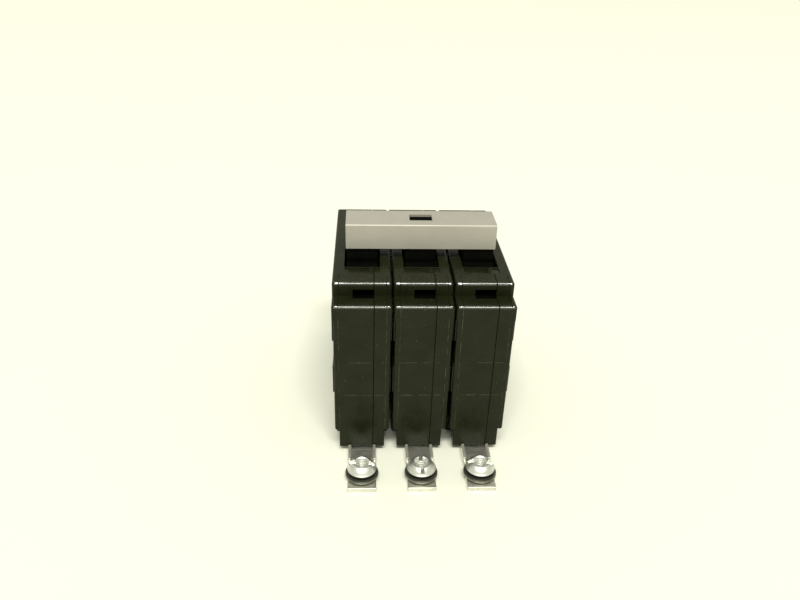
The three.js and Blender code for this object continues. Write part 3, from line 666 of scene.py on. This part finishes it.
def slotLip(x0, x1):
    # a low lip along the front of the handle slot, in the ramp's low end
    top = case["noseTop"]
    bar = block((x0, slot["front"] - lip["depth"], top - lip["bottom"]),
                (x1, slot["front"], top - lip["drop"]))
    upper = [edge for edge in bar.edges if not atX(edge, x0) and not atX(edge, x1)
             and min(vert.co.z for vert in edge.verts) > top - 0.5]
    roundEdges(bar, upper, lip["rounding"], 2)
    return solidOf(bar)


def rampRib():
    # a short rib that runs down the ramp to the handle slot
    bar = block((slotRib["x"][0], slotRib["front"], case["noseTop"] - slotRib["bottom"]),
                (slotRib["x"][1], slot["front"], case["noseTop"] - slotRib["drop"]))
    roundEdges(bar, list(bar.edges), slotRib["rounding"], 2)
    return solidOf(bar)


baseForm = cutHalf(-1)
coverForm = cutHalf(1)
print("case halves cut:", len(baseForm.data.polygons), len(coverForm.data.polygons))

for pole in poleNumbers:
    base = combine(copyOf(baseForm, "base"), rivetCuts(-1, pole == 1) + pocketCuts(-1, pole == 1),
                   "DIFFERENCE")
    cover = combine(copyOf(coverForm, "cover"), rivetCuts(1, pole == 3) + pocketCuts(1, pole == 3),
                    "DIFFERENCE")
    post = solidOf(rod("X", stopPost["place"], stopPost["radius"], -inside - stopPost["bite"],
                       case["seam"] - stopPost["gap"], 20))
    lipEnd = slot["halfWidth"] + 0.1
    base = combine(base, [post, rampRib(), slotLip(-lipEnd, case["seam"] - 2 * hair)], "UNION")
    cover = combine(cover, [slotLip(case["seam"] + case["seamGap"] + 2 * hair, lipEnd)], "UNION")
    finished(base, f"caseBase_{pole}", pole, casePlastic, "case", [f"base_{pole}"],
             others=(edgeHighlightPlastic, ridgePlastic, shadedBlackPlastic), chosen=caseFace)
    finished(cover, f"caseCover_{pole}", pole, casePlastic, "case", [f"cover_{pole}"],
             others=(edgeHighlightPlastic, ridgePlastic, shadedBlackPlastic), chosen=caseFace)
drop(baseForm)
drop(coverForm)
print("case halves placed")


# handles

handle = {"halfWidth": 5.05, "drum": 23.4, "drumWall": 2.2, "drumRounding": 0.15, "halfAngle": 56,
          "halfThickness": 5.2, "top": 71.5, "rounding": 0.45, "flare": 1.0, "flareTop": 64.2,
          "flareRounding": 0.3, "overlap": 1.5, "cheek": 1.85, "cheekHalf": 4.0, "cheekReach": 22.4,
          "hub": 4.4, "legHalf": 2.6, "pinZ": 30.5, "pin": 1.3}


def makeHandle(h, p):
    # a curved shutter in the slot, a flared neck with its block, and two cheeks down to the pivot
    half = h["halfWidth"]
    bm = bmesh.new()
    under = h["drum"] - h["drumWall"]
    verts = [bm.verts.new((x, p["y"], p["z"] + r)) for x, r in
             ((-half, under), (half, under), (half, h["drum"]), (-half, h["drum"]))]
    edges = [bm.edges.new((verts[k], verts[(k + 1) % 4])) for k in range(4)]
    centre = (0, p["y"], p["z"])
    bmesh.ops.rotate(bm, verts=verts, cent=centre,
                     matrix=Matrix.Rotation(math.radians(-h["halfAngle"]), 3, "X"))
    bmesh.ops.spin(bm, geom=verts + edges, cent=centre, axis=(1, 0, 0),
                   angle=math.radians(2 * h["halfAngle"]), steps=48, use_merge=False)
    bmesh.ops.holes_fill(bm, edges=[edge for edge in bm.edges if edge.is_boundary])
    bmesh.ops.recalc_face_normals(bm, faces=bm.faces)
    rims = [edge for edge in bm.edges if edge.calc_face_angle(0) > 1.0]
    roundEdges(bm, rims, h["drumRounding"], 2)
    drum = solidOf(bm)
    thin, thick = h["halfThickness"], h["halfThickness"] + h["flare"]
    flank = [(thick, p["z"] + h["drum"] - 2), (thick, case["noseTop"]), (thin, h["flareTop"])]
    outline = [(p["y"] - y, z) for y, z in flank] + [(p["y"] + y, z) for y, z in reversed(flank)]
    flared = prismX(outline, -half + 0.012, half - 0.012)
    roundEdges(flared, list(flared.edges), h["flareRounding"], 3)
    paddle = block((-half + 3 * hair, p["y"] - thin + hair, h["flareTop"] - h["overlap"]),
                   (half - 3 * hair, p["y"] + thin - hair, h["top"]))
    roundEdges(paddle, list(paddle.edges), h["rounding"], 3)
    parts = [solidOf(flared), solidOf(paddle)]
    for side in (-1, 1):
        x0, x1 = sorted((side * half, side * (half - h["cheek"])))
        pin = sorted((side * (half - 1), side * (inside + p["pocket"] - 0.3)))
        parts += [solidOf(form) for form in (
            block((x0 + 2 * hair, p["y"] - h["cheekHalf"], p["z"]),
                  (x1 - 2 * hair, p["y"] + h["cheekHalf"], p["z"] + h["cheekReach"])),
            rod("X", (p["y"], p["z"]), h["hub"], x0, x1, 32),
            block((x0 + hair, p["y"] - h["legHalf"], h["pinZ"]),
                  (x1 - hair, p["y"] + h["legHalf"], p["z"])),
            rod("X", (p["y"], h["pinZ"]), h["legHalf"], x0 + 2 * hair, x1 - 2 * hair, 28),
            rod("X", (p["y"], p["z"]), p["trunnion"], pin[0], pin[1], 24))]
    whole = combine(drum, parts, "UNION")
    pinHole = solidOf(rod("X", (p["y"], h["pinZ"]), h["pin"], -half - 1, half + 1, 20))
    return combine(whole, [pinHole], "DIFFERENCE")


handleForm = makeHandle(handle, pivot)
for pole in poleNumbers:
    finished(copyOf(handleForm, "handle"), f"toggle_{pole}", pole, shadedBlackPlastic, "handle_set",
             [f"handle_{pole}"])
drop(handleForm)
print("handles placed")


# handle tie, one folded sheet

tie = {"length": 48.8, "depth": 12.6, "top": 72.6, "bottom": 64.2, "sheet": 0.8, "bend": 0.6,
       "window": (7.4, 4.9), "edge": 0.09}


def makeTie(t, p):
    half = t["depth"] / 2
    path = [(p["y"] - half, t["bottom"]), (p["y"] - half, t["top"]), (p["y"] + half, t["top"]),
            (p["y"] + half, t["bottom"])]
    bm = bmesh.new()
    verts = [bm.verts.new((-t["length"] / 2, y, z)) for y, z in path]
    edges = [bm.edges.new(pair) for pair in zip(verts, verts[1:])]
    grown = bmesh.ops.extrude_edge_only(bm, edges=edges)
    moved = [part for part in grown["geom"] if isinstance(part, bmesh.types.BMVert)]
    bmesh.ops.translate(bm, verts=moved, vec=(t["length"], 0, 0))
    bmesh.ops.recalc_face_normals(bm, faces=bm.faces)
    if max(bm.faces, key=lambda face: face.calc_center_median().z).normal.z < 0:
        bmesh.ops.reverse_faces(bm, faces=bm.faces)
    bends = [edge for edge in bm.edges if len(edge.link_faces) == 2
             and all(abs(vert.co.z - t["top"]) < weld for vert in edge.verts)]
    roundEdges(bm, bends, t["bend"], 6)
    x, y = t["window"][0] / 2, t["window"][1] / 2
    for point, normal in (((-x, 0, 0), (1, 0, 0)), ((x, 0, 0), (1, 0, 0)),
                          ((0, p["y"] - y, 0), (0, 1, 0)), ((0, p["y"] + y, 0), (0, 1, 0))):
        bmesh.ops.bisect_plane(bm, geom=list(bm.verts) + list(bm.edges) + list(bm.faces),
                               plane_co=point, plane_no=normal)
    middles = [(face, face.calc_center_median()) for face in bm.faces]
    hole = [face for face, middle in middles
            if abs(middle.x) < x and abs(middle.y - p["y"]) < y and middle.z > t["top"] - 0.1]
    bmesh.ops.delete(bm, geom=hole, context="FACES")
    bmesh.ops.solidify(bm, geom=list(bm.faces), thickness=t["sheet"])
    bmesh.ops.remove_doubles(bm, verts=bm.verts, dist=weld)
    bmesh.ops.recalc_face_normals(bm, faces=bm.faces)
    rims = [edge for edge in bm.edges if edge.calc_face_angle(0) > math.radians(60)]
    roundEdges(bm, rims, t["edge"], 2)
    return solidOf(bm)


finished(makeTie(tie, pivot), "tieChannel", 2, tieCoat, "handle_set", ["handle_tie"], 30)
print("tie placed")


# line tabs, from their solids with the edges eased

def eased(node, name, material, body, width, steps, others=(), chosen=None):
    # a piece that keeps its solid, with its outer edges rounded
    sharpAngle = math.radians(40)
    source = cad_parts[node]
    bm = bmesh.new()
    bm.from_mesh(source.data)
    bmesh.ops.remove_doubles(bm, verts=bm.verts, dist=solidWeld)
    bmesh.ops.dissolve_limit(bm, angle_limit=math.radians(1), verts=bm.verts, edges=bm.edges)
    sharp = [edge for edge in bm.edges
             if edge.is_manifold and edge.calc_face_angle_signed(0) > sharpAngle]
    roundEdges(bm, sharp, width * mm, steps)
    for face in bm.faces:
        face.smooth = True
        face.material_index = chosen(face) if chosen else 0
    mesh = bpy.data.meshes.new(name)
    bm.to_mesh(mesh)
    bm.free()
    mesh.set_sharp_from_angle(angle=sharpAngle)
    for each in (material, *others):
        mesh.materials.append(each)
    piece = bpy.data.objects.new(name, mesh)
    bpy.context.scene.collection.objects.link(piece)
    even = piece.modifiers.new("even normals", "WEIGHTED_NORMAL")
    even.keep_sharp = True
    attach(piece, body)
    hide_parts(node)
    return piece


def onFlange(face):
    # the parts of a tab that stand above its flat strip, in front of the case
    middle = face.calc_center_median()
    return int(middle.z > 1.62 * mm and middle.y < rowShift.y)


for pole in poleNumbers:
    eased(f"line_tab_{pole}", f"lineStab_{pole}", tinPlate, "case", 0.22, 3,
          others=(flangeTin,), chosen=onFlange)
print("tabs placed")


# captive nuts and washers

nut = {"y": -13.0, "bore": 2.35, "crest": 2.1, "pitch": 0.79, "collar": 3.1, "collarBottom": 0.3,
       "seat": 3.7, "undercut": 0.85, "rim": 4.7, "rimTop": 4.6, "rimEase": 0.24, "topRadius": 2.85,
       "top": 6.6, "topEase": 0.12, "swellOut": 0.16, "swellUp": 0.1, "slotWidth": 1.33,
       "slotDepth": 1.3, "steps": 72, "turns": (-6, 92, -8)}
washer = {"bore": 3.4, "outer": 5.3, "bottom": 1.9, "stepHeight": 0.75, "upper": 4.86, "top": 3.4}


def nutProfile(n):
    under = n["rim"] - n["undercut"]
    points = [(n["collar"], n["collarBottom"]), (n["collar"], n["seat"]), (under, n["seat"]),
              (under, n["seat"] + 0.2), (n["rim"] - 0.1, n["rimTop"] - 0.28),
              (n["rim"], n["rimTop"] - 0.16),
              (n["rim"] - 0.07, n["rimTop"]), (n["rim"] - n["rimEase"], n["rimTop"] + n["topEase"])]
    for share in (0.2, 0.4, 0.6, 0.8, 0.94):     # the cone swells a little between rim and top
        swell = math.sin(math.pi * share)
        radius = n["rim"] - n["rimEase"] + (n["topRadius"] - n["rim"] + n["rimEase"]) * share
        height = n["rimTop"] + n["topEase"] + (n["top"] - n["rimTop"] - n["topEase"]) * share
        points.append((radius + n["swellOut"] * swell, height + n["swellUp"] * swell))
    height = n["top"] - n["topEase"]
    points += [(n["topRadius"] - 0.1, n["top"]), (n["bore"] + 0.16, n["top"]),
               (n["bore"] + 0.02, height)]
    while height - n["pitch"] > n["collarBottom"] + 0.1:
        points += [(n["crest"], height - n["pitch"] * 0.4), (n["crest"], height - n["pitch"] * 0.55),
                   (n["bore"], height - n["pitch"] * 0.95), (n["bore"], height - n["pitch"])]
        height -= n["pitch"]
    points.append((n["bore"], n["collarBottom"]))
    return points


def makeNut(n):
    body = solidOf(spun(nutProfile(n), n["steps"], (0, n["y"])))
    half = n["slotWidth"] / 2
    slotTool = solidOf(block((-n["rim"] - 1, n["y"] - half, n["top"] - n["slotDepth"]),
                             (n["rim"] + 1, n["y"] + half, n["top"] + 1)))
    chamfer = solidOf(block((-n["rim"] - 1, n["y"] - half, n["top"] - 0.1),
                            (n["rim"] + 1, n["y"] + half, n["top"] + 0.6), 2, 1, 0.7))
    return combine(body, [slotTool, chamfer], "DIFFERENCE")


def washerProfile(w):
    step = w["bottom"] + w["stepHeight"]
    return [(w["bore"] + 0.1, w["bottom"]), (w["outer"] - 0.12, w["bottom"]),
            (w["outer"], w["bottom"] + 0.12), (w["outer"], step - 0.1), (w["outer"] - 0.08, step),
            (w["upper"] + 0.06, step + 0.02), (w["upper"], step + 0.08),
            (w["upper"], w["top"] - 0.16), (w["upper"] - 0.1, w["top"]),
            (w["upper"] - 0.35, w["top"]), (w["bore"] + 0.15, w["top"] - 0.26),
            (w["bore"], w["top"] - 0.36), (w["bore"], w["bottom"] + 0.1)]


for pole in poleNumbers:
    centre = poleMatrix(pole) @ Vector((0, nut["y"], 0))
    zinc = turnedFinish(f"turned zinc {pole}", centre)
    finished(makeNut(nut), f"captiveNut_{pole}", pole, zinc, f"line_nut_{pole}",
             [f"line_nut_{pole}"], 32, nut["turns"][pole - 1], (0, nut["y"]))
    ring = solidOf(spun(washerProfile(washer), nut["steps"], (0, nut["y"])))
    finished(ring, f"dishedWasher_{pole}", pole, washerSteel, f"line_nut_{pole}",
             [f"line_washer_{pole}"], 32)
print("nuts and washers placed")


# rivets and load terminals

def rivetHead(r, out, side):
    # a rolled head with a dimple, lying in its counterbore, with its face at out
    bm = bmesh.new()
    profile = [(0, out - 0.35), (0.9, out - 0.3), (1.3, out - 0.05), (1.9, out), (2.45, out - 0.12),
               (r["headRadius"], out - 0.4), (r["headRadius"], out - r["headHeight"]),
               (0, out - r["headHeight"])]
    verts = [bm.verts.new((x * side, radius, 0)) for radius, x in profile]
    edges = [bm.edges.new(pair) for pair in zip(verts, verts[1:])]
    bmesh.ops.spin(bm, geom=verts + edges, cent=(0, 0, 0), axis=(1, 0, 0), angle=math.tau,
                   steps=40, use_merge=True)
    bmesh.ops.remove_doubles(bm, verts=bm.verts, dist=weld)
    return bm


rowEnd = polePitch + case["halfWidth"] - rivet["recess"]


def onShank(face):
    # everything of a rivet but its two heads
    return int(abs(face.calc_center_median().x) < rowEnd - 1.2)


for count, (y, z) in enumerate(rivet["places"], 1):
    shank = solidOf(rod("X", (y, z), rivet["radius"], -rowEnd + 0.5, rowEnd - 0.5, 32))
    heads = []
    for side in (-1, 1):
        head = rivetHead(rivet, rowEnd, side)
        bmesh.ops.translate(head, verts=head.verts, vec=(0, y, z))
        heads.append(solidOf(head))
    whole = combine(shank, heads, "UNION")
    finished(whole, f"longRivet_{count}", 2, rivetSteel, "case",
             [f"case_rivet_{count}"], 35, others=(shadedShank,), chosen=onShank)

for pole in poleNumbers:
    clamp = f"wire_clamp_{pole}"
    eased(f"load_screw_{pole}", f"lugScrew_{pole}", zincPlate, clamp, 0.2, 3)
    eased(f"load_strap_{pole}", f"lugStrap_{pole}", copperStrip, "case", 0.15, 2)
    eased(f"clamp_plate_{pole}", f"clampPlate_{pole}", zincPlate, clamp, 0.15, 2)
print("rivets and load terminals placed")


# inner pieces keep their solids and take a finish

innerFinishes = {"contact_arm": copperStrip, "fixed_contact": contactSilver, "arc_chute": chuteFibre,
                 "cradle": sheetSteel, "toggle_spring": springSteel, "armature": sheetSteel,
                 "bimetal": sheetSteel, "magnet_yoke": sheetSteel, "trip_flag": flagOrange,
                 "trip_bar": shadedBlackPlastic}
for node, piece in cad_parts.items():
    kind = node.rstrip("0123456789").rstrip("_")
    if kind in innerFinishes:
        for place in piece.material_slots:
            place.material = innerFinishes[kind]
        if not piece.material_slots:
            piece.data.materials.append(innerFinishes[kind])
print("inner pieces finished")


# floor, light and camera

studio = {"floorHalf": 4.0, "floor": (0.88, 0.88, 0.775), "sky": (1.0, 1.0, 0.86), "skyStrength": 0.55,
          "key": (0.0, -5.8, 10.4), "keyAim": (0, -0.02, 0.05), "keySize": (6.4, 2.4),
          "keyPower": 1260.0, "keyColor": (1.0, 1.0, 0.92)}
bm = bmesh.new()
bmesh.ops.create_grid(bm, x_segments=1, y_segments=1, size=studio["floorHalf"])
floor = solidOf(bm, "floor")
floorFinish = Finish("pale floor", Metallic=0.0, Roughness=0.75)
floorFinish.color(floorFinish.mixed(floorFinish.noise(6, 3, 0.5), studio["floor"],
                                    tuple(c * 0.985 for c in studio["floor"])))
floor.data.materials.append(floorFinish.material)

world = bpy.data.worlds.new("studio")
bpy.context.scene.world = world
world.use_nodes = True
backdrop = world.node_tree.nodes["Background"]
backdrop.inputs["Color"].default_value = (*studio["sky"], 1)
backdrop.inputs["Strength"].default_value = studio["skyStrength"]

keyLight = bpy.data.lights.new("key", "AREA")
keyLight.shape = "RECTANGLE"
keyLight.size, keyLight.size_y = studio["keySize"]
keyLight.energy = studio["keyPower"]
keyLight.color = studio["keyColor"]
key = bpy.data.objects.new("key", keyLight)
key.location = studio["key"]
key.rotation_euler = (Vector(studio["keyAim"]) - key.location).to_track_quat("-Z", "Y").to_euler()
bpy.context.scene.collection.objects.link(key)

view = {"sensor": 36, "lens": 31.859, "nearest": 0.01, "place": (-0.01834, -0.21445, 0.162),
        "down": 29.204, "aside": 3.318, "roll": 1.739}
lens = bpy.data.cameras.new("camera")
lens.sensor_width = view["sensor"]
lens.lens = view["lens"]
lens.clip_start = view["nearest"]
camera = bpy.data.objects.new("camera", lens)
camera.matrix_world = (Matrix.Translation(view["place"])
                       @ Matrix.Rotation(math.radians(-view["aside"]), 4, "Z")
                       @ Matrix.Rotation(math.radians(90 - view["down"]), 4, "X")
                       @ Matrix.Rotation(math.radians(view["roll"]), 4, "Z"))
bpy.context.scene.collection.objects.link(camera)
bpy.context.scene.camera = camera
bpy.context.scene.view_settings.view_transform = "Standard"
print("floor, light and camera set")
